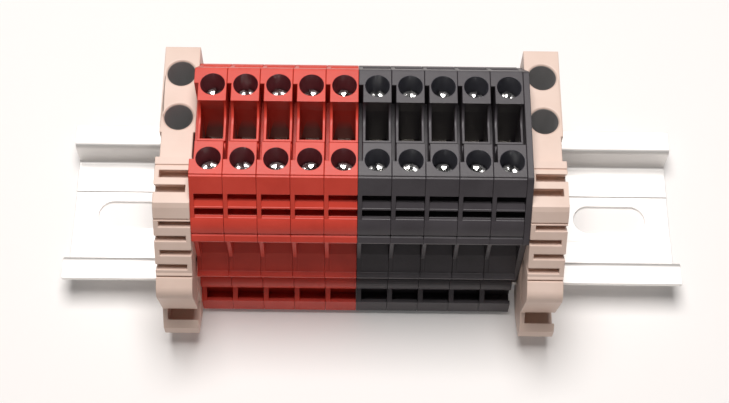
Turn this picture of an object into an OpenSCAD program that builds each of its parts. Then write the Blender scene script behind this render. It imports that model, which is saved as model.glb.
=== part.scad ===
// Row of feed-through screw terminal blocks on a 35 mm top-hat rail.
// X runs along the rail, +Y to the rear, +Z up; the origin is the middle of the rail's underside.

/* [Rail] */
// Length of the mounting rail
rail_length = 125; // [110:1:300]
// Width over the two flanges
rail_width = 35; // [34:0.5:40]
// Height from the underside to the flange tops
rail_height = 7.5; // [7:0.1:12]
// Thickness of the rail's sheet
rail_sheet = 1; // [0.8:0.1:1.4]
// Outer width of the rail's channel
rail_channel = 27; // [25:0.5:29]
// Inside radius of the rail's bends
rail_bend = 0.8; // [0.3:0.1:1.2]
// Width of the shallow groove along the channel floor
rail_groove_w = 10.5; // [8:0.5:16]
// Depth of the shallow groove along the channel floor
rail_groove_d = 0.35; // [0.1:0.05:0.5]
// Length of one fixing slot
slot_length = 15; // [10:0.5:20]
// Width of one fixing slot
slot_width = 6.2; // [4:0.1:7]
// Pitch of the fixing slots
slot_pitch = 25; // [22:0.5:40]
// Gap between a moulded hook and the rail's flange
rail_fit = 0.1; // [0.05:0.05:0.3]

/* [Block row] */
// Left face of the first block, from the middle of the rail
row_left = -34.2; // [-40:0.1:-20]
// Pitch of the blocks along the rail
block_pitch = 6.2; // [5.9:0.1:8]
// Blocks in each colour
bank_blocks = 5; // [1:1:5]
// Gap between a block's open side and the next block
block_gap = 0.05; // [0.02:0.01:0.1]
// Thickness of the block's closed left wall
side_wall = 0.8; // [0.6:0.05:1]
// Thickness of the ribs between the cored pockets
core_web = 0.9; // [0.6:0.1:1.4]
// Distance of the cored pockets' side ribs from the middle
core_rib_y = 9; // [7:0.5:11]
// Height of the cored pockets' floor above the flange tops
core_floor = 2.3; // [1.8:0.1:4]

/* [Block outline] */
// Height of the turret tops above the flange tops
block_height = 34; // [32:0.5:40]
// Height of the turrets above the jumper well's rim
turret_height = 3.3; // [2:0.1:4.5]
// Wall between a screw bore and the turret's inner face
turret_wall_in = 1.25; // [0.8:0.05:1.8]
// Wall between a screw bore and the turret's outer edge
turret_wall_out = 1.4; // [1:0.05:2]
// Width of the step along the turret's outer edge
step_width = 0.4; // [0.2:0.05:0.8]
// Depth of the step along the turret's outer edge
step_depth = 0.25; // [0.1:0.05:0.5]
// Outward run of the slanted face
face_run = 7.75; // [6:0.25:9]
// Height of the slanted face
face_drop = 11.4; // [10.5:0.1:13]
// Thickness of the lip over the wire entry
lip_height = 0.4; // [0.3:0.1:0.8]
// Set-back of the left wall's edge under the lip
rib_inset = 1.6; // [1:0.1:2]
// Set-back of the wire entry's sill under the lip
sill_inset = 2.1; // [1.6:0.1:2.6]
// Height of the ledge under the wire entry, above the flange tops
ledge_height = 9.2; // [8:0.1:10]
// Reach of the ledge past the rail's flange
ledge_reach = 3.15; // [2.6:0.05:4]
// Width of the ledge's level top
ledge_width = 1.1; // [0.6:0.1:1.4]
// Thickness of the ledge
ledge_thickness = 0.6; // [0.4:0.1:1]
// Chamfer of the ledge's edge
ledge_edge = 0.2; // [0.1:0.05:0.3]
// Reach of the neck under the ledge past the rail's flange
neck_reach = 0.3; // [0.2:0.05:0.6]
// Radius of the foot's rounded nose
nose_r = 2.5; // [2.2:0.1:2.9]
// Reach of the nose past the rail's flange
nose_reach = 2.08; // [1.8:0.02:2.3]
// Height of the nose's middle above the flange tops
nose_height = 1.42; // [1.3:0.02:1.8]
// Reach of the toe's upper edge past the rail's flange
toe_reach = 3.7; // [3.4:0.1:3.9]
// Depth of the toe's upper edge below the flange tops
toe_drop = 2.15; // [1.9:0.05:2.4]
// Reach of the foot's bottom past the rail's flange
foot_reach = 3.95; // [3.9:0.05:4.3]
// Depth of the foot below the flange tops
foot_depth = 6.35; // [5.8:0.05:7]
// Chamfer of the foot's bottom edge
foot_chamfer = 0.35; // [0.2:0.05:0.6]
// Reach of the hook under the flange
hook_reach = 1.6; // [0.8:0.1:2]
// Thickness of the hook's nose
hook_nose = 1.2; // [0.8:0.1:1.6]
// Height of the arch over the rail's channel
arch_height = 1.1; // [0.6:0.1:1.6]

/* [Marker pockets and driver slot] */
// Roof of the upper marker pocket below the turret tops
marker_a_drop = 3.3; // [2.5:0.1:4]
// Height of the upper marker pocket
marker_a_height = 2.25; // [1.5:0.05:2.5]
// Roof of the lower marker pocket below the turret tops
marker_b_drop = 5.85; // [5.7:0.05:7]
// Height of the lower marker pocket
marker_b_height = 1.6; // [1:0.1:2]
// Height of the deep slot at the top of a marker pocket
marker_slot = 1.15; // [0.8:0.05:1.4]
// Depth of a marker pocket's slot
marker_depth = 2.6; // [1.5:0.1:3]
// Depth of the sloping seat under a marker pocket's slot
marker_seat = 0.5; // [0.2:0.05:0.8]
// Outward bow of the face under the marker pockets
brow_bow = 0.25; // [0.05:0.01:0.35]
// Height of the crease above the slanted face's lower edge
crease_height = 1.4; // [1:0.1:2]
// Width and depth of the crease
crease_size = 0.45; // [0.2:0.05:0.6]
// Height of the driver slot between the front foot's nose and toe
driver_height = 2.3; // [1.6:0.1:2.6]
// Wall between the driver slot and the rail's edge
driver_wall = 1; // [0.8:0.1:1.2]
// Width of the groove behind the toe
driver_groove = 2; // [1.6:0.1:2.2]
// Depth of the groove behind the toe
driver_depth = 1.9; // [1.2:0.1:2.2]
// Thickness of the left wall beside the driver slot
driver_side = 1; // [0.9:0.05:1.3]

/* [Jumper well] */
// Width of the well along the rail
well_width = 4.3; // [4.1:0.1:4.6]
// Front edge of the well from the middle
well_front = 2; // [1:0.1:2.5]
// Rear edge of the well from the middle
well_rear = 3.3; // [3:0.1:3.6]
// Radius of the hollow curve from the well's rim up to the rear turret
well_curve = 3.3; // [1:0.1:3.5]
// Thickness of the rim in front of the well
well_rim = 0.45; // [0.3:0.05:0.8]
// Depth of the groove in front of the rim
rim_groove = 0.8; // [0.3:0.1:1.5]
// Depth of the notch in the left wall, below the turret tops
notch_depth = 7; // [5:0.5:7]
// Half width of the notch in the left wall
notch_half = 8.05; // [6:0.05:9]

/* [Clamps] */
// Distance of a clamp's screw from the middle of the block
clamp_y = 7.85; // [7.6:0.05:9]
// Diameter of the bore over a screw
access_d = 4.6; // [4.2:0.1:4.8]
// Depth of the current bar's underside below the turret tops
bar_drop = 13.9; // [13.2:0.1:15]
// Width of the current bar
bar_width = 2.8; // [2:0.1:3]
// Thickness of the current bar
bar_thickness = 1.1; // [0.8:0.1:1.5]
// Diameter of the jumper hole in the current bar
bar_hole_d = 1.8; // [1:0.1:2]
// Gap over and beside the current bar in its slot
bar_clear = 0.1; // [0.05:0.05:0.2]
// Gap for the wire under the current bar, clamp open
wire_gap = 4; // [3.5:0.1:4.5]
// Length of a clamp across the block
cage_length = 5.6; // [4.6:0.1:5.8]
// Thickness of a clamp's sides
cage_side = 0.6; // [0.4:0.05:0.7]
// Thickness of a clamp's base
cage_base = 1; // [0.7:0.1:1.4]
// Thickness of a clamp's threaded top
cage_top = 1.8; // [1.2:0.1:2.2]
// Gap around a clamp in its chamber
cage_clear = 0.3; // [0.25:0.05:0.4]
// Rise of a clamp from open to shut
cage_travel = 3; // [2:0.1:3.2]
// Drop of the wire entry's roof towards the clamp
entry_drop = 1; // [0.4:0.1:1.4]
// Drop of the wire entry's floor towards the front
entry_sill = 3.6; // [2.5:0.1:4.2]
// Length of the flared part of the wire entry
entry_flare = 3.5; // [2:0.1:5]

/* [Screws] */
// Diameter of the screw's shank
screw_d = 3; // [2.4:0.1:3.2]
// Gap between the shank and the clamp's thread
thread_clear = 0.06; // [0.03:0.01:0.1]
// Height of the screw's head
head_height = 2.4; // [1.6:0.1:2.8]
// Gap between the screw's head and its bore
head_clear = 0.25; // [0.15:0.05:0.35]
// Chamfer of the head's top edge
head_chamfer = 0.25; // [0.1:0.05:0.4]
// Gap between the screw's tip and the current bar
tip_clear = 0.1; // [0.05:0.05:0.2]
// Length of the screw's reduced tip
tip_length = 0.7; // [0.3:0.1:1]
// Diameter of the screw's reduced tip
tip_d = 2.2; // [1.4:0.1:2.3]
// Width of the slot and cross in the head
drive_width = 0.7; // [0.5:0.05:0.9]
// Depth of the slot and cross in the head
drive_depth = 1.2; // [0.6:0.1:1.5]
// Length of the cross's shorter arm
cross_length = 2.6; // [1.5:0.1:3]

/* [End cover] */
// Thickness of the end cover
cover_thickness = 1.2; // [1:0.1:2]
// Diameter of the cover's locating pegs
peg_d = 1.9; // [1.2:0.1:2.2]
// Length of the cover's locating pegs
peg_length = 2; // [1:0.1:3]
// Gap around a locating peg
peg_clear = 0.05; // [0.02:0.01:0.1]
// Height of a peg above the roof of the wire entry
peg_rise = 2.1; // [1.7:0.1:2.4]
// Distance of a peg behind the lip's edge
peg_back = 5; // [4.5:0.1:5.5]

/* [End brackets] */
// Width of an end bracket along the rail
bracket_width = 6.9; // [6.7:0.1:9]
// Height of the rear arm's top above the flange tops
arm_height = 26.8; // [24:0.1:30]
// Rear face of the arm behind the middle of the rail
arm_rear = 20.5; // [20:0.1:24]
// Rise of the bracket's head over the arm
head_rise = 2.5; // [1.5:0.1:3.5]
// Rear face of the head in front of the middle
head_rear = 5.2; // [4.5:0.1:5.8]
// Front edge of the head's flat top
head_front = 14.8; // [14.4:0.1:15.4]
// Chamfer at the front edge of the head's top
head_break = 0.7; // [0.3:0.1:1]
// Outward run of the bracket's slanted front
front_run = 8.2; // [7.5:0.1:9]
// Height of the bracket's slanted front
front_drop = 11.2; // [10.8:0.1:12]
// Run of the belly's sloping top, forward from the slanted front
belly_run = 3.7; // [3:0.1:4.5]
// Fall of the belly's sloping top
belly_fall = 2.1; // [1:0.1:3]
// Radius of the belly's rounded front edge
belly_r = 2.5; // [1:0.1:3.5]
// Set-back of the belly's foot from its front
belly_tuck = 1.65; // [0.5:0.05:2]
// Middle of the shallow side recess in front of the rail's middle
lens_y = 21.4; // [20.5:0.1:21.6]
// Middle of the shallow side recess above the flange tops
lens_z = 10; // [9:0.1:10.5]
// Radius of the shallow recess in the bracket's sides
lens_r = 4.3; // [3:0.1:4.5]
// Depth of the shallow recess in the bracket's sides
lens_depth = 0.25; // [0.1:0.05:0.5]
// Depth of the narrowed neck on each side
neck_inset = 0.4; // [0.2:0.05:0.6]
// Rear end of the narrowed neck
neck_rear = 1.4; // [0.5:0.1:1.5]
// Diameter of the two sockets in the arm
socket_d = 5.4; // [4.8:0.1:6]
// Chamfer at the mouth of a socket
socket_break = 0.3; // [0.1:0.05:0.4]
// Depth of the two sockets
socket_depth = 20; // [12:0.5:22]
// Position of the front socket
socket_front = 4.8; // [4.6:0.1:5.5]
// Position of the rear socket
socket_rear = 14.5; // [13.5:0.1:16]
// Width of a marker slot in the bracket's top
slit_width = 1.5; // [0.8:0.1:1.8]
// Width of a marker slot in the bracket's slanted front
slit_front = 1.2; // [0.8:0.1:1.5]
// Depth of a marker slot in the bracket
slit_depth = 2; // [1:0.1:2.4]
// Pitch of the marker slots in the bracket
slit_pitch = 3.05; // [2.6:0.05:3.1]
// First marker slot behind the front edge of the head's top
slit_first = 6.8; // [6:0.1:7]
// First marker slot below the top of the slanted front
slit_slope = 2.9; // [2:0.1:3.2]
// Wall that closes one end of a marker slot
slit_wall = 0.95; // [0.6:0.05:1.2]
// Size of the fine grooves beside the marker slots
groove_size = 0.3; // [0.2:0.05:0.4]
// Reach of the bracket's rear heel past the rail's flange
heel_reach = 2.85; // [2.2:0.05:4]
// Height of the bracket's rear heel above the flange tops
heel_height = 8; // [6:0.5:10]
// Depth of the bracket's feet below the flange tops
bracket_depth = 5; // [4:0.1:6]
// Reach of the bracket's release tongue past the rail's flange
tongue_reach = 10.9; // [10.4:0.1:12]
// Top of the tongue's slanted face above the flange tops
tongue_top = 4.5; // [3.8:0.1:5]
// Fall of the tongue's slanted face towards its tip
tongue_fall = 3.6; // [3:0.1:4]
// Thickness of the tongue's tip
tongue_tip = 2.6; // [1.8:0.1:2.8]
// Thickness of the rim in front of the tongue's pocket
pocket_rim = 1.2; // [0.9:0.1:1.6]
// Depth of the tongue's pocket behind its rim
pocket_depth = 5.2; // [4:0.1:6]
// Height of the tongue's pocket
pocket_height = 5.4; // [4.5:0.1:5.8]
// Wall that closes the left side of the pocket
pocket_wall = 0.95; // [0.6:0.05:1.4]

/* [Hidden] */
banks = ["red", "black"];
sides = ["front", "rear"];
bank_colours = ["#c9382c", "#2d2b2d"];
beige = "#dcc6b8";
bright_steel = "#c9c9c6";
tinned_copper = "#d8cfc2";
bright_aluminium = "#d9d9d6";
eps = 0.01;
over = 1;
$fn = 48;

// Heights, from the rail's underside up.
seat_z = rail_height;
top_z = seat_z + block_height;
rim_z = top_z - turret_height;
edge_z = top_z - step_depth;
lip_z = edge_z - face_drop;
roof_z = lip_z - lip_height;
ledge_z = seat_z + ledge_height;
nose_z = seat_z + nose_height;
toe_z = seat_z - toe_drop;
foot_z = seat_z - foot_depth;
hook_z = seat_z - rail_sheet - rail_fit;
arch_z = seat_z + arch_height;
bar_z = top_z - bar_drop;
bar_top = bar_z + bar_thickness;
cage_floor = bar_z - wire_gap;
sill_z = cage_floor - entry_sill;
cage_z = cage_floor - cage_base;
cage_roof = bar_top + cage_clear;
cage_end = cage_roof + cage_top;
chamber_z = cage_z - cage_clear;
chamber_top = cage_end + cage_travel + cage_clear;
head_z = chamber_top + cage_clear;
head_top = head_z + head_height;
tip_z = bar_top + tip_clear;
core_z = seat_z + core_floor;
core_top = chamber_z - core_web;
peg_z = roof_z + peg_rise;
arm_z = seat_z + arm_height;
brow_z = arm_z + head_rise;

// Distances from the middle of a block.
turret_in = clamp_y - access_d / 2 - turret_wall_in;
top_half = clamp_y + access_d / 2 + turret_wall_out;
lip_half = top_half + face_run;
rib_half = lip_half - rib_inset;
sill_half = lip_half - sill_inset;
rail_half = rail_width / 2;
ledge_half = rail_half + ledge_reach;
ledge_in = ledge_half - ledge_width;
neck_half = rail_half + neck_reach;
nose_y = rail_half + nose_reach - nose_r;
toe_half = rail_half + toe_reach;
foot_half = rail_half + foot_reach;
hook_half = rail_half - hook_reach;
seat_half = rail_channel / 2 - rail_sheet / 2;
chamber_half = cage_length / 2 + cage_clear;
chamber_in = clamp_y - chamber_half;
chamber_out = clamp_y + chamber_half;
bar_end = clamp_y + cage_length / 2;
peg_y = lip_half - peg_back;

// Positions along the rail.
row_right = row_left + 2 * bank_blocks * block_pitch;
cover_right = row_right + cover_thickness;
screw_x = (side_wall + block_pitch) / 2;
cage_width = bar_width + 2 * (cage_clear + cage_side);
slot_reach = floor((rail_length / 2 - slot_length / 2 - over) / slot_pitch);

// Left face of block i of a bank.
function block_x(bank, i) = row_left + (bank * bank_blocks + i - 1) * block_pitch;

// Distance of the slanted face from the middle at height z.
function face_y(z) = top_half + (edge_z - z) * face_run / face_drop;

// A half outline, top to bottom, closed by its mirror image.
function both_halves(half) = concat(
    [for (p = half) [-p[0], p[1]]],
    [for (i = [len(half) - 1 : -1 : 0]) half[i]]
);

// Slanted face from the turret's stepped edge to the lip, with the bowed band and the crease.
brow_top = top_z - marker_b_drop - marker_b_height;
crease_z = lip_z + crease_height;
function brow_point(t) = let (z = brow_top + (crease_z - brow_top) * t)
    [face_y(z) + brow_bow * 4 * t * (1 - t) * face_drop / norm([face_run, face_drop]),
        z + brow_bow * 4 * t * (1 - t) * face_run / norm([face_run, face_drop])];
function face_points() = concat([
    [top_half - step_width, top_z],
    [top_half - step_width, edge_z],
    [top_half, edge_z]
], [for (t = [0 : 0.125 : 1]) brow_point(t)], [
    [face_y(crease_z - crease_size / 2) - crease_size, crease_z - crease_size / 2],
    [face_y(crease_z - crease_size), crease_z - crease_size],
    [lip_half, lip_z],
    [lip_half, roof_z]
]);

// Height of the sloping wall under the wire entry at distance y from the middle.
function wall_z(y) = sill_z - (y - sill_half) * (sill_z - ledge_z) / (ledge_in - sill_half);

// Foot with its ledge, rounded nose, toe, hook and seat on the flange.
nose_from = acos((neck_half - nose_y) / nose_r);
nose_to = -35;
function foot_points() = concat(
    [
        [ledge_in, ledge_z],
        [ledge_half - ledge_edge, ledge_z],
        [ledge_half, ledge_z - ledge_edge],
        [ledge_half, ledge_z - ledge_thickness],
        [neck_half, ledge_z - ledge_thickness - ledge_edge]
    ],
    [for (k = [0 : 10]) let (a = nose_from + (nose_to - nose_from) * k / 10)
        [nose_y + nose_r * cos(a), nose_z + nose_r * sin(a)]],
    [
        [(toe_half + nose_y + nose_r * cos(nose_to)) / 2 - foot_chamfer / 4, (toe_z + nose_z + nose_r * sin(nose_to)) / 2],
        [toe_half, toe_z],
        [foot_half, foot_z + foot_chamfer],
        [foot_half - foot_chamfer, foot_z],
        [rail_half, foot_z],
        [hook_half, hook_z - hook_nose],
        [hook_half, hook_z],
        [rail_half + rail_fit, hook_z],
        [rail_half + rail_fit, seat_z],
        [seat_half, seat_z],
        [seat_half, arch_z]
    ]
);

// Puts a section drawn in Y and Z between two places along the rail.
module along_x(x0, x1) {
    translate([x0, 0, 0])
        rotate([90, 0, 90])
            linear_extrude(x1 - x0)
                children();
}

// Rectangle between two corners.
module span(y0, z0, y1, z1) {
    translate([y0, z0])
        square([y1 - y0, z1 - z0]);
}

module both_sides() {
    children();
    mirror([1, 0])
        children();
}

// Closed left wall: the full outline, with the notch between the turrets.
module wall_section() {
    rib = [[rib_half, roof_z], [rib_half, wall_z(rib_half)]];
    difference() {
        polygon(both_halves(concat(face_points(), rib, foot_points())));
        span(-notch_half, top_z - notch_depth, notch_half, top_z + over);
    }
}

// Wire entry from the front, flared, into the clamp's chamber.
module entry_section() {
    polygon([
        [chamber_out - eps, cage_floor],
        [sill_half - entry_flare, cage_floor],
        [sill_half, sill_z],
        [foot_half + over, sill_z],
        [foot_half + over, roof_z],
        [chamber_out + entry_flare, roof_z],
        [chamber_out - eps, roof_z - entry_drop]
    ]);
}

// Marker pocket cut in from the slanted face: a level slot and a sloping seat below it.
module marker_section(drop, height) {
    slot_top = top_z - drop;
    slot_z = slot_top - min(marker_slot, 0.8 * height);
    low_z = slot_top - height;
    polygon([
        [face_y(slot_top) - marker_depth, slot_top],
        [face_y(slot_top) - marker_depth, slot_z],
        [face_y(slot_z) - marker_seat, slot_z],
        [face_y(low_z) - marker_seat / 5, low_z],
        [foot_half, low_z],
        [foot_half, slot_top]
    ]);
}

// Cored pocket behind the sloping wall, under the floor of the wire entry.
module outer_pocket() {
    inner = core_rib_y + core_web / 2;
    outer = neck_half - core_web;
    polygon([
        [inner, core_z],
        [outer, core_z],
        [outer, sill_z - 1.5 * core_web],
        [sill_half - entry_flare, core_top],
        [inner, core_top]
    ]);
}

// Driver slot between the nose and the toe of the front foot, with a groove behind the toe.
module driver_slot() {
    back = -rail_half - driver_wall;
    span(-foot_half - over, toe_z, back, toe_z + driver_height);
    span(back - driver_groove, toe_z - driver_depth, back, toe_z + driver_height);
}

// Everything that the moulding leaves open towards its right side.
module core_cavities() {
    both_sides() {
        span(chamber_in, chamber_z, chamber_out, chamber_top);
        entry_section();
        marker_section(marker_a_drop, marker_a_height);
        marker_section(marker_b_drop, marker_b_height);
        span(core_web / 2, core_z, core_rib_y - core_web / 2, core_top);
        outer_pocket();
    }
    // Slot for the current bar, between the two chambers
    span(-chamber_in - eps, bar_z, chamber_in + eps, bar_top + bar_clear);
    // Groove between the front turret and the well's rim
    span(-turret_in, rim_z - rim_groove, -well_front - well_rim, rim_z + over);
}

// Open space over the well's rim, with a hollow curve up to the rear turret.
module rim_section() {
    r = min(well_curve, turret_height);
    span(-turret_in, rim_z, turret_in - r, top_z + over);
    span(-turret_in, rim_z + r, turret_in, top_z + over);
    translate([turret_in - r, rim_z + r])
        circle(r = r);
}

// Deep well down to the current bar, its rear wall leaning up to the rear turret.
module well_section() {
    floor_z = bar_top + bar_clear - eps;
    polygon([
        [-well_front, floor_z],
        [well_rear, floor_z],
        [turret_in, rim_z],
        [turret_in, top_z + over],
        [-well_front, top_z + over]
    ]);
}

// The ribs, turrets and chambers that stand on the left wall.
module core_section() {
    sill = [[sill_half, roof_z], [sill_half, sill_z]];
    difference() {
        polygon(both_halves(concat(face_points(), sill, foot_points())));
        rim_section();
        core_cavities();
    }
}

module block_housing(bank, i) {
    color(bank_colours[bank])
        translate([block_x(bank, i), 0, 0])
            difference() {
                union() {
                    along_x(0, side_wall)
                        wall_section();
                    along_x(side_wall, block_pitch - block_gap)
                        core_section();
                }
                for (s = [-1, 1])
                    translate([screw_x, s * clamp_y, chamber_top - eps])
                        cylinder(h = top_z - chamber_top + over, d = access_d);
                along_x(driver_side, block_pitch + over)
                    driver_slot();
                along_x(screw_x - well_width / 2, screw_x + well_width / 2)
                    well_section();
                for (s = [-1, 1])
                    translate([block_pitch - peg_length - peg_clear, s * peg_y, peg_z])
                        rotate([0, 90, 0])
                            cylinder(h = peg_length + over, d = peg_d + 2 * peg_clear);
            }
}

// Current bars of one bank, each with the hole for a jumper.
module bank_bars(bank) {
    color(tinned_copper)
        for (i = [1 : bank_blocks])
            translate([block_x(bank, i) + screw_x, 0, bar_z])
                difference() {
                    translate([-bar_width / 2, -bar_end, 0])
                        cube([bar_width, 2 * bar_end, bar_thickness]);
                    translate([0, 0, -over])
                        cylinder(h = bar_thickness + 2 * over, d = bar_hole_d);
                }
}

// Clamping screw with a slot and cross in its head and a reduced tip that bears on the bar.
module terminal_screw(bank, side, i) {
    head_r = access_d / 2 - head_clear;
    color(bright_steel)
        translate([block_x(bank, i) + screw_x, side * clamp_y, 0])
            difference() {
                rotate_extrude()
                    polygon([
                        [0, tip_z],
                        [tip_d / 2, tip_z],
                        [tip_d / 2, tip_z + tip_length],
                        [screw_d / 2, tip_z + tip_length + (screw_d - tip_d) / 2],
                        [screw_d / 2, head_z],
                        [head_r, head_z],
                        [head_r, head_top - head_chamfer],
                        [head_r - head_chamfer, head_top],
                        [0, head_top]
                    ]);
                translate([-drive_width / 2, -access_d / 2, head_top - drive_depth])
                    cube([drive_width, access_d, drive_depth + over]);
                translate([-cross_length / 2, -drive_width / 2, head_top - drive_depth])
                    cube([cross_length, drive_width, drive_depth + over]);
            }
}

// Rising clamp: a ring of steel strip that climbs the screw and lifts the wire to the bar.
module clamp_cage(bank, side, i) {
    color(bright_steel)
        translate([block_x(bank, i) + screw_x, side * clamp_y, 0])
            difference() {
                translate([-cage_width / 2, -cage_length / 2, cage_z])
                    cube([cage_width, cage_length, cage_end - cage_z]);
                translate([cage_side - cage_width / 2, -cage_length, cage_floor])
                    cube([cage_width - 2 * cage_side, 2 * cage_length, cage_roof - cage_floor]);
                translate([0, 0, cage_roof - eps])
                    cylinder(h = cage_top + over, d = screw_d + 2 * thread_clear);
            }
}

// Cover plate with pegs, which closes the last block's open side.
module end_cover() {
    lower = [[rib_half, roof_z], [rib_half, core_z - core_web]];
    upper = [[top_half - step_width, top_z], [top_half, edge_z], [lip_half, lip_z], [lip_half, roof_z]];
    color(bank_colours[1]) {
        along_x(row_right, cover_right)
            polygon(both_halves(concat(upper, lower)));
        for (s = [-1, 1])
            translate([row_right - peg_length, s * peg_y, peg_z])
                rotate([0, 90, 0])
                    cylinder(h = peg_length + eps, d = peg_d);
    }
}

// Side outline of an end bracket: arm, head, slanted front, belly, tongue and hooks.
module bracket_outline() {
    nose = -head_front - head_break;
    tip = -rail_half - tongue_reach;
    base_z = seat_z - bracket_depth;
    heel = rail_half + heel_reach;
    shelf = [nose - front_run - belly_run, brow_z - head_break - front_drop - belly_fall];
    lean = atan2(belly_fall, belly_run);
    round_z = shelf[1] - belly_r * (1 - sin(lean)) / cos(lean);
    polygon([
        [arm_rear, arm_z],
        [-head_rear, arm_z],
        [-head_rear, brow_z],
        [-head_front, brow_z],
        [nose, brow_z - head_break],
        [nose - front_run, brow_z - head_break - front_drop],
        [shelf[0] + belly_r * (1 - sin(lean)), round_z + belly_r * cos(lean)],
        [shelf[0], round_z],
        [shelf[0] + belly_tuck, seat_z + tongue_top],
        [tip, seat_z + tongue_top - tongue_fall],
        [tip, seat_z + tongue_top - tongue_fall - tongue_tip],
        [-rail_half - tongue_reach / 2, base_z],
        [-rail_half, base_z],
        [-hook_half, hook_z - hook_nose],
        [-hook_half, hook_z],
        [-rail_half - rail_fit, hook_z],
        [-rail_half - rail_fit, seat_z],
        [-seat_half, seat_z],
        [-seat_half, arch_z],
        [seat_half, arch_z],
        [seat_half, seat_z],
        [rail_half + rail_fit, seat_z],
        [rail_half + rail_fit, hook_z],
        [hook_half, hook_z],
        [hook_half, hook_z - hook_nose],
        [rail_half, base_z],
        [heel, base_z],
        [heel, seat_z + heel_height],
        [arm_rear, seat_z + heel_height + heel_reach]
    ]);
    translate([shelf[0] + belly_r, round_z])
        circle(r = belly_r);
}

// Places a cut at a distance along the head's flat top.
module on_top(s) {
    translate([-head_front + s, brow_z])
        rotate(180)
            children();
}

// Places a cut at a distance down the slanted front.
module on_front(s) {
    translate([-head_front - head_break, brow_z - head_break])
        rotate(atan2(-front_drop, -front_run))
            translate([s, 0])
                children();
}

// Section of a marker slot or of a fine groove, cut in from a face.
module cut(width, depth) {
    translate([0, -over])
        square([width, depth + over]);
}

// Row of marker slots over the head and down the front, closed by a wall on alternate sides.
module bracket_slits() {
    closed_left = [slit_wall, bracket_width + over];
    closed_right = [-over, bracket_width - slit_wall];
    for (k = [0 : 5]) {
        reach = k % 2 == 0 ? closed_left : closed_right;
        along_x(reach[0], reach[1])
            if (k < 2)
                on_top(slit_first - k * slit_pitch)
                    cut(slit_width, slit_depth);
            else
                on_front(slit_slope + (k - 2) * slit_pitch)
                    cut(slit_front, slit_depth);
    }
    along_x(-over, bracket_width + over) {
        on_top(slit_first + slit_pitch * 0.4)
            cut(groove_size, groove_size);
        on_front(slit_slope - slit_front / 2)
            cut(groove_size, groove_size);
        on_front(slit_slope + 3 * slit_pitch + 2 * slit_front)
            cut(groove_size, groove_size);
    }
}

module end_bracket(x) {
    mid = bracket_width / 2;
    color(beige)
        translate([x, 0, 0])
            difference() {
                along_x(0, bracket_width)
                    bracket_outline();
                bracket_slits();
                // Narrowed neck between the arm and the head
                for (side_x = [neck_inset - over, bracket_width - neck_inset])
                    along_x(side_x, side_x + over)
                        span(-head_rear, arch_z + heel_height, neck_rear, arm_z + over);
                // Two sockets in the arm, chamfered at the mouth
                for (y = [socket_front, socket_rear])
                    translate([mid, y, arm_z]) {
                        translate([0, 0, -socket_depth])
                            cylinder(h = socket_depth, d = socket_d);
                        translate([0, 0, -socket_break])
                            cylinder(h = 2 * socket_break, d1 = socket_d, d2 = socket_d + 4 * socket_break);
                    }
                // Shallow round recess in both sides
                for (side_x = [lens_depth - over, bracket_width - lens_depth])
                    translate([side_x, -lens_y, seat_z + lens_z])
                        rotate([0, 90, 0])
                            cylinder(h = over, r = lens_r);
                // Pocket behind the tongue's rim, for the release
                along_x(pocket_wall, bracket_width + over)
                    translate([pocket_rim - rail_half - tongue_reach, seat_z + tongue_top - pocket_height])
                        square([pocket_depth, pocket_height]);
            }
}

// Rounds the inside of a bend of the rail between two faces that meet at a corner.
module bend_fill(y, z, sy, sz) {
    translate([y, z])
        difference() {
            span(min(0, sy * rail_bend), min(0, sz * rail_bend),
                max(0, sy * rail_bend), max(0, sz * rail_bend));
            translate([sy * rail_bend, sz * rail_bend])
                circle(r = rail_bend);
        }
}

// Cuts the outside of a bend of the rail to a round.
module bend_cut(y, z, sy, sz) {
    r = rail_bend + rail_sheet / 2;
    translate([y, z])
        difference() {
            span(min(-sy * eps, sy * r), min(-sz * eps, sz * r), max(-sy * eps, sy * r), max(-sz * eps, sz * r));
            translate([sy * r, sz * r])
                circle(r = r);
        }
}

module rail_section() {
    out_y = rail_channel / 2;
    in_y = out_y - rail_sheet;
    difference() {
        union() {
            span(-out_y, 0, out_y, rail_sheet);
            both_sides() {
                span(in_y, 0, out_y, rail_height);
                span(in_y, rail_height - rail_sheet, rail_half, rail_height);
                bend_fill(in_y, rail_sheet, -1, 1);
                bend_fill(out_y, rail_height - rail_sheet, 1, -1);
            }
        }
        both_sides() {
            bend_cut(out_y, 0, -1, 1);
            bend_cut(in_y, rail_height, 1, -1);
        }
        span(-rail_groove_w / 2, rail_sheet - rail_groove_d, rail_groove_w / 2, rail_height);
    }
}

module mounting_rail() {
    straight = slot_length - slot_width;
    color(bright_aluminium)
        difference() {
            along_x(-rail_length / 2, rail_length / 2)
                rail_section();
            for (k = [-slot_reach : slot_reach])
                translate([k * slot_pitch, 0, -over]) {
                    translate([-straight / 2, -slot_width / 2, 0])
                        cube([straight, slot_width, rail_height]);
                    for (s = [-1, 1])
                        translate([s * straight / 2, 0, 0])
                            cylinder(h = rail_height, d = slot_width);
                }
        }
}

mounting_rail();
end_cover();
end_bracket(row_left - bracket_width);  // left_end_bracket
end_bracket(cover_right);  // right_end_bracket
for (b = [0, 1]) {
    bank_bars(b);
    for (i = [1 : bank_blocks]) {
        block_housing(b, i);
        for (s = [0, 1]) {
            side = 2 * s - 1;
            tag = str(banks[b], "_", sides[s]);
            terminal_screw(b, side, i);
            clamp_cage(b, side, i);
        }
    }
}
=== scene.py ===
import math

import bmesh
import bpy
import numpy as np
from mathutils import Matrix, Vector


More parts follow.
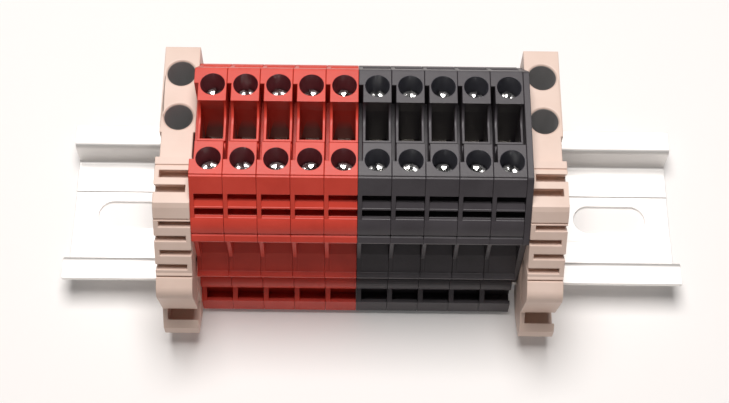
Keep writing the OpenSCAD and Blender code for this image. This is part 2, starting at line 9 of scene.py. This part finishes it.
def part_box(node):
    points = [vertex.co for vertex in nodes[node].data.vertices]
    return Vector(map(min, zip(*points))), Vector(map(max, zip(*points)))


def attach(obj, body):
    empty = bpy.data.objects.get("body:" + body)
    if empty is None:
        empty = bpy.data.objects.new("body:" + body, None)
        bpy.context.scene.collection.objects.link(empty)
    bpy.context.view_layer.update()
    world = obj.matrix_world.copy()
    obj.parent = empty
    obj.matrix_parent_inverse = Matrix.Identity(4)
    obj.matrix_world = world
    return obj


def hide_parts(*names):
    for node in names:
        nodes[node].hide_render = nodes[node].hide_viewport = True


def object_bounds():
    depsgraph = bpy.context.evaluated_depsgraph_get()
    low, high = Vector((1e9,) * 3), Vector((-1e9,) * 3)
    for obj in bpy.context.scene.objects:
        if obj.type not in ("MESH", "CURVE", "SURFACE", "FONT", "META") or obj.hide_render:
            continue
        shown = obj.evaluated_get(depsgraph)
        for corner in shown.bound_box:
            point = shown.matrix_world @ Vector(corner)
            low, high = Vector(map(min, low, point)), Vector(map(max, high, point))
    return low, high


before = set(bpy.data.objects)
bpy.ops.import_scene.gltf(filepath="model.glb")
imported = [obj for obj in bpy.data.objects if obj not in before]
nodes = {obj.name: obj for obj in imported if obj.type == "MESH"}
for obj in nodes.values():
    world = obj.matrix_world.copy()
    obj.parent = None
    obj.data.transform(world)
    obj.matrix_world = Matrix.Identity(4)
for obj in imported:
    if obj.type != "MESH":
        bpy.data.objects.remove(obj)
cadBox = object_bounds()
scene = bpy.context.scene
mm = 0.001
print("loaded", len(nodes), "solids")


# colours are written as sRGB hex and used as linear values
def hexColour(text):
    srgb = np.array([int(text[i:i + 2], 16) for i in (1, 3, 5)]) / 255.0
    linear = np.where(srgb <= 0.04045, srgb / 12.92, ((srgb + 0.055) / 1.055) ** 2.4)
    return (*[float(v) for v in linear], 1.0)


# adds one node, sets its properties and inputs, and links other nodes' outputs into it
def addNode(tree, kind, props=None, values=None, links=None):
    node = tree.nodes.new(kind)
    for name, value in (props or {}).items():
        setattr(node, name, value)
    for name, value in (values or {}).items():
        node.inputs[name].default_value = value
    for name, socket in (links or {}).items():
        tree.links.new(socket, node.inputs[name])
    return node


# an empty node material
def newMaterial(name):
    material = bpy.data.materials.new(name)
    material.use_nodes = True
    material.node_tree.nodes.clear()
    return material, material.node_tree


# colour steps from dark to light, as (position, hex); a new ramp has two
def setRamp(node, stops):
    ramp = node.color_ramp
    while len(ramp.elements) < len(stops):
        ramp.elements.new(0.5)
    for element, (position, colour) in zip(ramp.elements, stops):
        element.position = position
        element.color = hexColour(colour)


# a pattern's scale from the size of its marks in mm
def perMm(size):
    return 1.0 / (size * mm)


# 1 inside the round holes that core pins have left, 0 elsewhere: the distance from the nearest pin's axis
# is taken after folding x by the pitch and y about the middle line
def insidePins(tree, place, pins):
    far, halfStep = 1.0, pins["stepX"] * mm / 2
    steps = [("SUBTRACT", {1: (pins["firstX"] * mm, pins["middleY"] * mm, 0.0)}),
             ("WRAP", {1: (halfStep, far, far), 2: (-halfStep, -far, -far)}),
             ("ABSOLUTE", {}),
             ("SUBTRACT", {1: (0.0, pins["halfY"] * mm, 0.0)}),
             ("MULTIPLY", {1: (1.0, 1.0, 0.0)})]
    spot = place
    for operation, constants in steps:
        step = addNode(tree, "ShaderNodeVectorMath", props={"operation": operation},
                       values=constants, links={0: spot})
        spot = step.outputs["Vector"]
    reach = addNode(tree, "ShaderNodeVectorMath", props={"operation": "LENGTH"}, links={0: spot})
    inside = addNode(tree, "ShaderNodeMath", props={"operation": "LESS_THAN"},
                     values={1: pins["radius"] * mm}, links={0: reach.outputs["Value"]})
    return inside.outputs["Value"]


# 1 deep in the jumper wells and 0 above them: the pin mask of a round core, faded out towards its top; it
# places the wells' painted shade
def paintedShadeInWells(tree, place, wells):
    height = addNode(tree, "ShaderNodeSeparateXYZ", links={"Vector": place})
    bottom, top = (wells["topZ"] - wells["fade"]) * mm, wells["topZ"] * mm
    fade = addNode(tree, "ShaderNodeMapRange",
                   values={"From Min": bottom, "From Max": top, "To Min": 1.0, "To Max": 0.0},
                   links={"Value": height.outputs["Z"]})
    deep = addNode(tree, "ShaderNodeMath", props={"operation": "MULTIPLY"},
                   links={0: insidePins(tree, place, wells), 1: fade.outputs["Result"]})
    return deep.outputs["Value"]


# what all moulded polyamide shares: where the flow marks' colours lie, how the tool lines are drawn out,
# the depth of the relief in mm, the spread of the roughness and the index of refraction
polyamideSkin = {"steps": (0.3, 0.5, 0.72), "lineStretch": (0.06, 0.5, 1.0), "reliefMm": 0.03,
                 "roughSpread": 0.07, "index": 1.53}


# polyamide, injection moulded: an even satin skin with cloudy flow marks and fine tool lines; inside the
# holes a smoother wall, whose shine the core pins' fine rings draw out upright, in painted shade of a greyer,
# cooler tone, and deep in the jumper wells in painted shade of a darker tone
def mouldedPolyamide(name, look):
    common, pins = polyamideSkin, look["pins"]
    material, tree = newMaterial(name)
    place = addNode(tree, "ShaderNodeTexCoord").outputs["Object"]
    flow = addNode(tree, "ShaderNodeTexNoise", links={"Vector": place},
                   values={"Scale": perMm(look["flowMm"]), "Detail": 3.0, "Roughness": 0.55})
    tint = addNode(tree, "ShaderNodeValToRGB", links={"Fac": flow.outputs["Fac"]})
    setRamp(tint, list(zip(common["steps"], (look["dark"], look["colour"], look["light"]))))
    grain = addNode(tree, "ShaderNodeTexNoise", links={"Vector": place},
                    values={"Scale": perMm(look["grainMm"]), "Detail": 2.0, "Roughness": 0.6})
    stretched = addNode(tree, "ShaderNodeMapping", values={"Scale": common["lineStretch"]},
                        links={"Vector": place})
    toolLines = addNode(tree, "ShaderNodeTexNoise", values={"Scale": perMm(look["lineMm"]), "Detail": 2.0},
                        links={"Vector": stretched.outputs["Vector"]})
    relief = addNode(tree, "ShaderNodeMix", props={"data_type": "FLOAT"},
                     values={"Factor": look["lineShare"]},
                     links={"A": grain.outputs["Fac"], "B": toolLines.outputs["Fac"]})
    pinHole = insidePins(tree, place, pins)
    depth = addNode(tree, "ShaderNodeMapRange", links={"Value": pinHole},
                    values={"To Min": look["relief"], "To Max": pins["relief"]})
    bump = addNode(tree, "ShaderNodeBump", values={"Distance": common["reliefMm"] * mm},
                   links={"Height": relief.outputs["Result"], "Strength": depth.outputs["Result"]})
    sheen = addNode(tree, "ShaderNodeMapRange", links={"Value": flow.outputs["Fac"]},
                    values={"To Min": look["rough"] - common["roughSpread"],
                            "To Max": look["rough"] + common["roughSpread"]})
    polish = addNode(tree, "ShaderNodeMix", props={"data_type": "FLOAT"}, values={"B": pins["rough"]},
                     links={"Factor": pinHole, "A": sheen.outputs["Result"]})
    # painted shade: inside the holes the skin's colour gives way to a greyer, cooler one
    wall = addNode(tree, "ShaderNodeMixRGB", values={"Color2": hexColour(look["pinPaintedShade"])},
                   links={"Fac": pinHole, "Color1": tint.outputs["Color"]})
    # painted shade: deep in the jumper wells the colour gives way to a darker one
    if "wells" in look:
        deep = paintedShadeInWells(tree, place, look["wells"])
        wall = addNode(tree, "ShaderNodeMixRGB", values={"Color2": hexColour(look["wellPaintedShade"])},
                       links={"Fac": deep, "Color1": wall.outputs["Color"]})
    upright = addNode(tree, "ShaderNodeCombineXYZ", values={"Z": 1.0})
    skin = addNode(tree, "ShaderNodeBsdfPrincipled",
                   values={"IOR": common["index"], "Specular IOR Level": look["gloss"]},
                   links={"Base Color": wall.outputs["Color"], "Roughness": polish.outputs["Result"],
                          "Normal": bump.outputs["Normal"], "Anisotropic": pinHole,
                          "Tangent": upright.outputs["Vector"]})
    addNode(tree, "ShaderNodeOutputMaterial", links={"Surface": skin.outputs["BSDF"]})
    return material


# core pins of the turrets' bores and of the brackets' sockets, and the core of the jumper wells with the top
# and fade of its painted shade, in mm
borePins = {"firstX": -30.7, "stepX": 6.2, "middleY": 0.0, "halfY": 7.85, "radius": 2.34,
            "rough": 0.3, "relief": 0.0}
socketPins = {"firstX": -37.65, "stepX": 70.1, "middleY": 9.65, "halfY": 4.85, "radius": 2.74,
              "rough": 0.16, "relief": 0.0}
wellCore = {"firstX": -30.7, "stepX": 6.2, "middleY": 0.65, "halfY": 0.0, "radius": 3.4,
            "topZ": 35.0, "fade": 3.0}
# the real grain and tool lines are too fine to show and are drawn as coarse as they need to be;
# the colours of the walls in the holes and wells are painted shade, chosen as the photograph shows them
redLook = {"colour": "#d34333", "dark": "#ca3e2f", "light": "#d94838", "flowMm": 7.0, "grainMm": 0.4,
           "lineMm": 0.3, "lineShare": 0.35, "relief": 1.0, "rough": 0.42, "gloss": 0.36,
           "pins": borePins, "pinPaintedShade": "#a8565f", "wells": wellCore, "wellPaintedShade": "#8f4f49"}
blackLook = {"colour": "#454145", "dark": "#403c40", "light": "#4a464a", "flowMm": 7.0, "grainMm": 0.4,
             "lineMm": 0.3, "lineShare": 0.35, "relief": 1.0, "rough": 0.42, "gloss": 0.36,
             "pins": borePins, "pinPaintedShade": "#6c6c76"}
beigeLook = {"colour": "#dfc6b8", "dark": "#dac0b2", "light": "#e4ccbf", "flowMm": 9.0, "grainMm": 0.25,
             "lineMm": 0.35, "lineShare": 0.3, "relief": 0.45, "rough": 0.42, "gloss": 0.4,
             "pins": socketPins, "pinPaintedShade": "#c6c5c5"}
redPolyamide = mouldedPolyamide("red moulded polyamide", redLook)
blackPolyamide = mouldedPolyamide("black moulded polyamide", blackLook)
beigePolyamide = mouldedPolyamide("beige moulded polyamide", beigeLook)


# what the metals share: a bare surface that takes its tint, roughness and relief from their patterns
def bareMetal(tree, tint, polish, bump):
    metal = addNode(tree, "ShaderNodeBsdfPrincipled", values={"Metallic": 1.0},
                    links={"Base Color": tint.outputs["Color"], "Roughness": polish.outputs["Result"],
                           "Normal": bump.outputs["Normal"]})
    addNode(tree, "ShaderNodeOutputMaterial", links={"Surface": metal.outputs["BSDF"]})


# extruded aluminium, bright etched: long faint die lines along the rail, soft white reflections
def extrudedAluminium(name, look):
    material, tree = newMaterial(name)
    place = addNode(tree, "ShaderNodeTexCoord").outputs["Object"]
    along = addNode(tree, "ShaderNodeMapping", values={"Scale": look["lineStretch"]},
                    links={"Vector": place})
    dieLines = addNode(tree, "ShaderNodeTexNoise", links={"Vector": along.outputs["Vector"]},
                       values={"Scale": perMm(look["dieLineMm"]), "Detail": 4.0, "Roughness": 0.7})
    cloud = addNode(tree, "ShaderNodeTexNoise", values={"Scale": perMm(look["cloudMm"]), "Detail": 2.0},
                    links={"Vector": place})
    tint = addNode(tree, "ShaderNodeValToRGB", links={"Fac": cloud.outputs["Fac"]})
    setRamp(tint, list(zip(look["steps"], (look["dark"], look["light"]))))
    bump = addNode(tree, "ShaderNodeBump", links={"Height": dieLines.outputs["Fac"]},
                   values={"Strength": look["relief"], "Distance": look["reliefMm"] * mm})
    polish = addNode(tree, "ShaderNodeMapRange", links={"Value": dieLines.outputs["Fac"]},
                     values={"To Min": look["rough"] - look["roughSpread"],
                             "To Max": look["rough"] + look["roughSpread"]})
    bareMetal(tree, tint, polish, bump)
    return material


railLook = {"dark": "#e9e7e5", "light": "#f3f1ef", "steps": (0.3, 0.7), "lineStretch": (0.012, 1.0, 1.0),
            "dieLineMm": 0.35, "cloudMm": 18.0, "relief": 0.15, "reliefMm": 0.02,
            "rough": 0.6, "roughSpread": 0.06}
brightAluminium = extrudedAluminium("bright extruded aluminium", railLook)


# zinc-plated steel or tinned brass: a bright metal skin, slightly uneven from the plating bath
def platedMetal(name, look):
    material, tree = newMaterial(name)
    place = addNode(tree, "ShaderNodeTexCoord").outputs["Object"]
    bath = addNode(tree, "ShaderNodeTexNoise", values={"Scale": perMm(look["bathMm"]), "Detail": 3.0},
                   links={"Vector": place})
    tint = addNode(tree, "ShaderNodeValToRGB", links={"Fac": bath.outputs["Fac"]})
    setRamp(tint, list(zip(look["steps"], (look["dark"], look["light"]))))
    polish = addNode(tree, "ShaderNodeMapRange", links={"Value": bath.outputs["Fac"]},
                     values={"To Min": look["smoothest"], "To Max": look["roughest"]})
    bump = addNode(tree, "ShaderNodeBump", links={"Height": bath.outputs["Fac"]},
                   values={"Strength": look["relief"], "Distance": look["reliefMm"] * mm})
    bareMetal(tree, tint, polish, bump)
    return material


zincLook = {"dark": "#cfcfcd", "light": "#e6e6e4", "steps": (0.3, 0.7), "bathMm": 0.5,
            "smoothest": 0.09, "roughest": 0.22, "relief": 0.25, "reliefMm": 0.02}
tinLook = {"dark": "#cfc8bb", "light": "#ddd7cc", "steps": (0.3, 0.7), "bathMm": 0.8,
           "smoothest": 0.13, "roughest": 0.26, "relief": 0.15, "reliefMm": 0.02}
zincPlatedSteel = platedMetal("zinc plated steel", zincLook)
tinnedBrass = platedMetal("tin plated brass", tinLook)
print("materials made")


# the moulded, pressed and extruded pieces get a small edge radius, in mm, where their faces meet at more
# than the angle in degrees; points closer than the weld's reach, in metres, are merged first
edgeRadius = {"housing": 0.10, "cover": 0.12, "bracket": 0.16, "bars": 0.10, "clamp": 0.10, "rail": 0.08}
edgeShape = {"segments": 2, "angle": 32, "weld": 1e-6}


def softenEdges(solid, radius):
    weld = solid.modifiers.new("weld", "WELD")
    weld.merge_threshold = edgeShape["weld"]
    bevel = solid.modifiers.new("edge radius", "BEVEL")
    bevel.width = radius * mm
    bevel.segments = edgeShape["segments"]
    bevel.limit_method = "ANGLE"
    bevel.angle_limit = math.radians(edgeShape["angle"])
    bevel.use_clamp_overlap = False
    bevel.harden_normals = False
    level = solid.modifiers.new("face normals", "WEIGHTED_NORMAL")
    level.keep_sharp = True


def dress(solid, material):
    solid.data.materials.clear()
    solid.data.materials.append(material)


# marker pockets of a housing, upper and lower, in mm: the solid's slot floor is cut across, its front edge
# becomes a lip on the seat, and the floor behind the cut sinks, so that a short wall stands between
# lip and floor
pocketShape = {"near": 0.02, "pockets": (
    {"floorZ": 37.05, "frontY": 13.91, "backY": 11.02, "cutY": 13.3,
     "lip": (14.15, 36.69), "foot": (14.05, 36.0)},
    {"floorZ": 34.5, "frontY": 15.64, "backY": 12.76, "cutY": 15.0,
     "lip": (15.93, 34.31), "foot": (15.75, 33.0)})}


def deepenPocket(work, pocket, side, near):
    def onFloor(v):
        inDepth = pocket["backY"] - near < side * v.co.y / mm < pocket["frontY"] + near
        return inDepth and abs(v.co.z / mm - pocket["floorZ"]) < near

    floor = [face for face in work.faces if all(onFloor(v) for v in face.verts)]
    edges = list({e for face in floor for e in face.edges})
    corners = list({v for face in floor for v in face.verts})
    bmesh.ops.bisect_plane(work, geom=floor + edges + corners,
                           plane_co=(0, side * pocket["cutY"] * mm, 0), plane_no=(0, 1, 0))
    for v in [v for v in work.verts if onFloor(v)]:
        y = side * v.co.y / mm
        newY, newZ = y, pocket["foot"][1]
        if y > pocket["frontY"] - near:
            newY, newZ = pocket["lip"]
        elif y > pocket["cutY"] - near:
            newY, newZ = pocket["foot"]
        v.co.y, v.co.z = side * newY * mm, newZ * mm


def deepenPockets(work, s):
    for pocket in s["pockets"]:
        for side in (-1, 1):
            deepenPocket(work, pocket, side, s["near"])


# the two slots in a bracket's head, in mm: their floor lies deeper than the solid's and runs back under
# the rear wall, so that the wall overhangs
slotShape = {"floorZ": 34.8, "lowerZ": 33.9, "frontY": (-12.55, -9.5), "rearY": (-11.05, -8.0),
             "undercut": 0.95, "near": 0.02}


def undercutSlots(work, s):
    for v in work.verts:
        y = v.co.y / mm
        front, rear = (min(abs(y - edge) for edge in s[key]) < s["near"] for key in ("frontY", "rearY"))
        if abs(v.co.z / mm - s["floorZ"]) < s["near"] and (front or rear):
            v.co.z = s["lowerZ"] * mm
            v.co.y += s["undercut"] * mm if rear else 0.0


# a housing or bracket is a merged copy of its solid, carved as the photograph shows it
def mouldCopy(name, solid, radius, material, slot, carve, shape):
    mesh = solid.data.copy()
    work = bmesh.new()
    work.from_mesh(mesh)
    bmesh.ops.remove_doubles(work, verts=work.verts, dist=edgeShape["weld"])
    carve(work, shape)
    work.to_mesh(mesh)
    work.free()
    moulded = bpy.data.objects.new(name + "_moulded", mesh)
    scene.collection.objects.link(moulded)
    softenEdges(moulded, radius)
    dress(moulded, material)
    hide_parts(name)
    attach(moulded, "strip")


# the value of the first key that a name contains
def pick(table, name, other=None):
    return next((value for key, value in table.items() if key in name), other)


mouldings = {"red_housing": (redPolyamide, "red_polyamide", deepenPockets, pocketShape),
             "black_housing": (blackPolyamide, "black_polyamide", deepenPockets, pocketShape),
             "bracket": (beigePolyamide, "beige_polyamide", undercutSlots, slotShape)}
plainPieces = {"end_cover": blackPolyamide, "bars": tinnedBrass, "mounting_rail": brightAluminium}
for name, solid in list(nodes.items()):
    radius, moulding = pick(edgeRadius, name), pick(mouldings, name)
    if moulding:
        mouldCopy(name, solid, radius, *moulding)
        continue
    if radius:
        softenEdges(solid, radius)
    dress(solid, pick(plainPieces, name, zincPlatedSteel))
print("solids dressed")


# clamping screw: sizes in mm, heights from the rail's underside, angles in degrees; columns counts the points
# across an arm of the cross, along each half of the land beside it and across the slot's open end, and
# slotRow is the share of the top's radius where the slot's floor has its inner row
screwShape = {"tip": 28.8, "tipRadius": 1.1, "tipLength": 0.7, "tipBreak": 0.1, "major": 1.5, "minor": 1.22,
              "lead": 0.5, "threadStep": 0.0625, "threadGap": 0.02, "neck": 0.35,
              "headFoot": 34.4, "headTop": 36.8, "headRadius": 2.05, "chamfer": 0.25, "footBreak": 0.08,
              "slotWidth": 0.7, "crossLength": 2.6, "slotDepth": 1.2, "slotRow": 0.4, "wallDraft": 0.1,
              "bowl": 1.0, "dish": 0.34, "columns": (4, 6, 5), "sharpAngle": 35,
              "turns": (20, 75, 130, 48, 162, 5, 98, 33, 147, 60, 112)}


# columns round the head: angles that hit every corner of the slot and cross, and a flag for those inside
# the open slot
def driveColumns(s):
    half = s["slotWidth"] / 2
    armPoints, landPoints, slotPoints = s["columns"]
    armAngle = math.atan2(half, s["crossLength"] / 2)
    slotAngle = math.acos(half / (s["headRadius"] - s["chamfer"]))
    land = np.concatenate([np.linspace(-armAngle, armAngle, armPoints),
                           np.linspace(armAngle, math.pi / 4, landPoints)[1:],
                           np.linspace(math.pi / 4, slotAngle, landPoints)[1:]])
    land = np.concatenate([-land[:armPoints - 1:-1], land])
    slot = np.linspace(slotAngle, math.pi - slotAngle, slotPoints)
    angle = np.concatenate([land, slot, land + math.pi, slot + math.pi])
    inSlot = np.concatenate([land * 0, slot * 0 + 1, land * 0, slot * 0 + 1]) > 0.5
    return angle, inSlot


# distance from the axis to the drive's outline in direction a: the cross's end, its sides, then the
# slot's sides
def driveReach(s, a):
    half, arm, tiny = s["slotWidth"] / 2, s["crossLength"] / 2, 1e-6
    c, d = np.maximum(np.abs(np.cos(a)), tiny), np.maximum(np.abs(np.sin(a)), tiny)
    side = np.where(c > d, half / d, half / c)
    return np.minimum(np.where(c > d, np.minimum(side, arm / c), side), s["headRadius"] - s["chamfer"])


# the screw is one surface of revolution r(z, a), cut by the drive and its shallow bowl on top and by a
# triangular thread on the shank: bowl z = headTop - dish * (1 - r / bowl),
# r = major - (major - minor) * |2 * frac(z / lead - a / 2pi) - 1|, faded out at both ends of the thread
def screwSurface(s):
    angle, inSlot = driveColumns(s)
    flat = np.ones_like(angle)
    floorZ = s["headTop"] - s["slotDepth"]
    rimR, topR = s["headRadius"], s["headRadius"] - s["chamfer"]
    reach = driveReach(s, angle)
    bowlDepth = s["dish"] * np.maximum(1.0 - reach / s["bowl"], 0.0)
    rows = [(flat * 0, flat * floorZ),
            (np.where(inSlot, s["slotRow"] * topR, reach - s["wallDraft"]), flat * floorZ),
            (np.where(inSlot, topR, reach), np.where(inSlot, floorZ, s["headTop"] - bowlDepth)),
            (np.where(inSlot, topR, np.maximum(reach, s["bowl"])), np.where(inSlot, floorZ, s["headTop"])),
            (flat * topR, np.where(inSlot, floorZ, s["headTop"])),
            (flat * rimR, np.where(inSlot, floorZ, s["headTop"] - s["chamfer"])),
            (flat * rimR, flat * (s["headFoot"] + s["footBreak"])),
            (flat * (rimR - s["footBreak"]), flat * s["headFoot"]),
            (flat * s["minor"], flat * s["headFoot"])]
    coneTop = s["tip"] + s["tipLength"] + s["major"] - s["tipRadius"]
    z = np.arange(s["headFoot"] - s["threadGap"], coneTop, -s["threadStep"])[:, None] * flat
    wave = np.abs(2.0 * np.mod(z / s["lead"] - angle / (2.0 * math.pi), 1.0) - 1.0)
    fadeTop = np.clip((s["headFoot"] - s["neck"] - z) / s["lead"], 0.0, 1.0)
    fadeTip = np.clip((z - coneTop) / s["lead"], 0.0, 1.0)
    r = s["minor"] + (s["major"] - s["minor"]) * (1.0 - wave) * (fadeTop * fadeTip)
    rows += [(r[i], z[i]) for i in range(len(z))]
    rows += [(flat * s["minor"], flat * coneTop),
             (flat * s["tipRadius"], flat * (s["tip"] + s["tipLength"])),
             (flat * s["tipRadius"], flat * (s["tip"] + s["tipBreak"])),
             (flat * (s["tipRadius"] - s["tipBreak"]), flat * s["tip"]),
             (flat * 0, flat * s["tip"])]
    radius, height = np.array([row[0] for row in rows]), np.array([row[1] for row in rows])
    return np.stack([radius * np.cos(angle), radius * np.sin(angle), height], axis=-1)


# closes a grid of rows round its axis; the first and the last row shrink to one point each
def wrapGrid(name, grid):
    mergeReach, sliver = 2e-6, 1e-6
    rows, columns = grid.shape[:2]
    points = np.concatenate([grid[0, :1], grid[1:-1].reshape(-1, 3), grid[-1, :1]]) * mm
    step = np.arange(columns)
    after = (step + 1) % columns
    base = 1 + np.arange(rows - 3)[:, None] * columns
    quads = np.stack([base + step, base + columns + step, base + columns + after, base + after], axis=-1)
    first = np.stack([0 * step, 1 + step, 1 + after], axis=-1)
    lastRow = 1 + (rows - 3) * columns
    last = np.stack([0 * step + len(points) - 1, lastRow + after, lastRow + step], axis=-1)
    mesh = bpy.data.meshes.new(name)
    faces = first.tolist() + quads.reshape(-1, 4).tolist() + last.tolist()
    mesh.from_pydata(points.tolist(), [], faces)
    work = bmesh.new()
    work.from_mesh(mesh)
    bmesh.ops.remove_doubles(work, verts=work.verts, dist=mergeReach)
    bmesh.ops.dissolve_degenerate(work, edges=work.edges, dist=sliver)
    bmesh.ops.triangulate(work, faces=work.faces)
    bmesh.ops.recalc_face_normals(work, faces=work.faces)
    work.to_mesh(mesh)
    work.free()
    return mesh


# each screw stands where its plain solid stands, and its slot points its own way
def placeScrews(s):
    grid = screwSurface(s)
    names = sorted(n for n in nodes if "_screw_" in n)
    for number, name in enumerate(names):
        low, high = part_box(name)
        turn = math.radians(s["turns"][number % len(s["turns"])])
        c, d = math.cos(turn), math.sin(turn)
        here = grid @ np.array([[c, d, 0.0], [-d, c, 0.0], [0.0, 0.0, 1.0]])
        here = here + np.array([(low[0] + high[0]) / 2, (low[1] + high[1]) / 2, 0.0]) / mm
        mesh = wrapGrid(name + "_threaded", here)
        mesh.materials.append(zincPlatedSteel)
        screw = bpy.data.objects.new(name + "_threaded", mesh)
        scene.collection.objects.link(screw)
        mesh.polygons.foreach_set("use_smooth", np.ones(len(mesh.polygons), dtype=bool))
        mesh.set_sharp_from_angle(angle=math.radians(s["sharpAngle"]))
        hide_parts(name)
        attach(screw, name)
    print("screws threaded", len(names))


placeScrews(screwShape)


# the photograph's view: position in mm in the strip's own frame, angles in degrees, lens and sensor in mm,
# and the near clip in metres
viewpoint = {"place": (-4.248, -133.346, 279.326), "yaw": 1.0984, "pitch": 63.8126, "roll": 1.6338,
             "lens": 72.43, "sensor": 36.0, "clipStart": 0.01}


def aimCamera(view):
    yaw, pitch, roll = (math.radians(view[k]) for k in ("yaw", "pitch", "roll"))
    ahead = Vector((math.sin(yaw) * math.cos(pitch), math.cos(yaw) * math.cos(pitch), -math.sin(pitch)))
    right = Vector((math.cos(yaw), -math.sin(yaw), 0.0))
    up = right.cross(ahead)
    tiltedRight = math.cos(roll) * right + math.sin(roll) * up
    tiltedUp = -math.sin(roll) * right + math.cos(roll) * up
    turn = Matrix((tiltedRight, tiltedUp, -ahead)).transposed().to_4x4()
    data = bpy.data.cameras.new("view")
    data.sensor_fit = "HORIZONTAL"
    data.sensor_width = view["sensor"]
    data.lens = view["lens"]
    data.clip_start = view["clipStart"]
    camera = bpy.data.objects.new("view", data)
    camera.matrix_world = Matrix.Translation(Vector(view["place"]) * mm) @ turn
    scene.collection.objects.link(camera)
    scene.camera = camera


aimCamera(viewpoint)


# white paper under the strip: nearly white to the eye, with a little glow of its own, and it keeps the
# soft shadow; half its width and the gap under the strip are in metres
paperLook = {"colour": "#faf7f5", "glowColour": "#ffffff", "glow": 0.08, "half": 3.0, "gap": 0.00002}


def layFloor(look):
    material, tree = newMaterial("white paper")
    path = addNode(tree, "ShaderNodeLightPath")
    seen = addNode(tree, "ShaderNodeMath", props={"operation": "MAXIMUM"},
                   links={0: path.outputs["Is Camera Ray"], 1: path.outputs["Is Glossy Ray"]})
    seenAll = addNode(tree, "ShaderNodeMath", props={"operation": "MAXIMUM"},
                      links={0: seen.outputs["Value"], 1: path.outputs["Is Transmission Ray"]})
    paper = addNode(tree, "ShaderNodeBsdfDiffuse", values={"Color": hexColour(look["colour"])})
    glow = addNode(tree, "ShaderNodeEmission", values={"Color": hexColour(look["glowColour"])},
                   links={"Strength": seenAll.outputs["Value"]})
    mixed = addNode(tree, "ShaderNodeMixShader", values={"Fac": look["glow"]},
                    links={1: paper.outputs["BSDF"], 2: glow.outputs["Emission"]})
    addNode(tree, "ShaderNodeOutputMaterial", links={"Surface": mixed.outputs["Shader"]})
    half = look["half"]
    corners = [(-half, -half, 0), (half, -half, 0), (half, half, 0), (-half, half, 0)]
    mesh = bpy.data.meshes.new("paper")
    mesh.from_pydata(corners, [], [(0, 1, 2, 3)])
    floor = bpy.data.objects.new("paper", mesh)
    floor.location.z = float(cadBox[0][2]) - look["gap"]
    mesh.materials.append(material)
    scene.collection.objects.link(floor)


layFloor(paperLook)

# a broad soft box hangs overhead, a little to the rear, and a white board stands low in front, with places
# in metres and powers in watts; the room is white to the camera and gives little light
lamps = {
    "key": {"place": (-0.02, 0.105, 0.62), "aim": (0, 0, 0.03), "size": (0.28, 0.38), "power": 4.4,
            "colour": "#fffcfa"},
    "board": {"place": (0.0, -0.6, 0.3), "aim": (0, 0, 0.02), "size": (0.6, 0.2), "power": 0.18,
              "colour": "#fffaf6"},
}
roomLook = {"colour": "#ffffff", "light": 0.045, "seen": 1.0}


def hangLamps():
    for name, lamp in lamps.items():
        data = bpy.data.lights.new(name, "AREA")
        data.shape = "RECTANGLE"
        data.size, data.size_y = lamp["size"]
        data.energy = lamp["power"]
        data.color = hexColour(lamp["colour"])[:3]
        light = bpy.data.objects.new(name, data)
        light.location = lamp["place"]
        aim = Vector(lamp["aim"]) - Vector(lamp["place"])
        light.rotation_euler = aim.to_track_quat("-Z", "Y").to_euler()
        scene.collection.objects.link(light)


def paintRoom(look):
    world = bpy.data.worlds.new("white room")
    world.use_nodes = True
    tree = world.node_tree
    tree.nodes.clear()
    path = addNode(tree, "ShaderNodeLightPath")
    strength = addNode(tree, "ShaderNodeMapRange", values={"To Min": look["light"], "To Max": look["seen"]},
                       links={"Value": path.outputs["Is Camera Ray"]})
    room = addNode(tree, "ShaderNodeBackground", values={"Color": hexColour(look["colour"])},
                   links={"Strength": strength.outputs["Result"]})
    addNode(tree, "ShaderNodeOutputWorld", links={"Surface": room.outputs["Background"]})
    scene.world = world


hangLamps()
paintRoom(roomLook)
scene.view_settings.view_transform = "Standard"
print("stage set")
